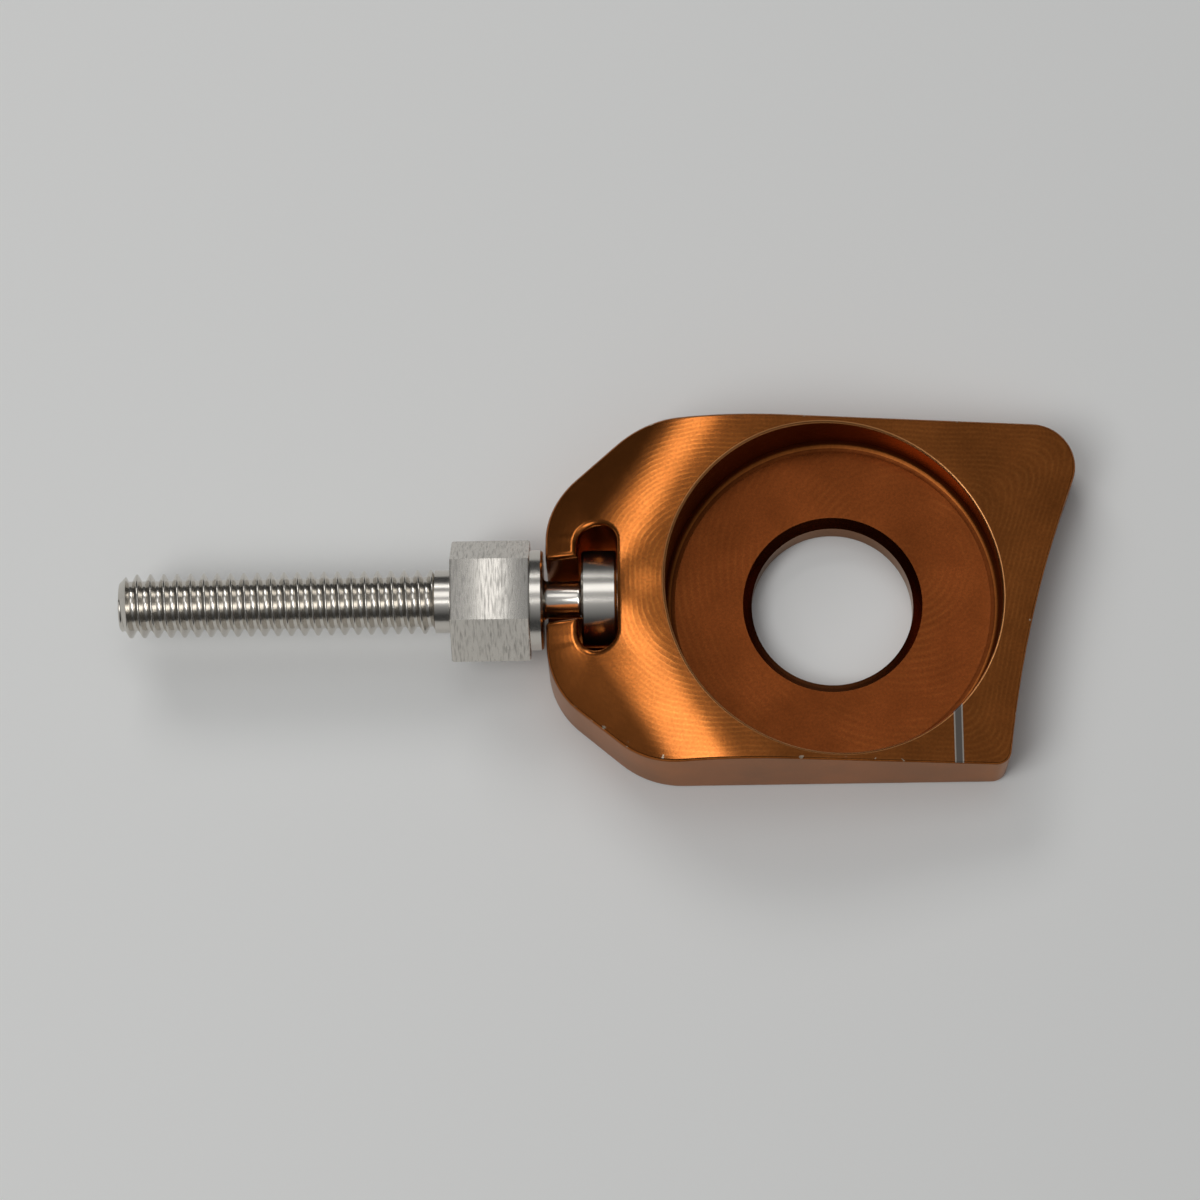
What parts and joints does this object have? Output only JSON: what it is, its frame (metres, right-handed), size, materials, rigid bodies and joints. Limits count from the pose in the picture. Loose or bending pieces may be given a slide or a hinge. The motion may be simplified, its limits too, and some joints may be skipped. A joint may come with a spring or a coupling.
{
  "type": "motorcycle chain adjuster",
  "caption": "Bronze-anodised milled axle block with a round nut recess, an axle bore and a T-slot that holds a stainless threaded adjuster stud with a hexagon.",
  "frame": {"origin": "on the axle bore's axis, at the block's flat back face", "axes": "+Z along the axle bore, out of the nut recess; +X from the nose towards the tail of the block; the stud runs along -X; the part lies on its back face at z = 0"},
  "size_m": [0.0897, 0.033, 0.0143],
  "materials": {
    "bronze_anodised_aluminium": "milled, satin bronze anodising",
    "turned_stainless_steel": "bright turned, drawn hexagon flats"
  },
  "bodies": {
    "block": {"adjuster_block": "bronze_anodised_aluminium"},
    "stud": {"adjuster_stud": "turned_stainless_steel"}
  },
  "joints": [
    {"name": "stud_spin", "type": "hinge", "parent": "block", "child": "stud", "pos_m": [-0.0268, 0, 0.0074], "axis": [1, 0, 0], "continuous": true}
  ]
}
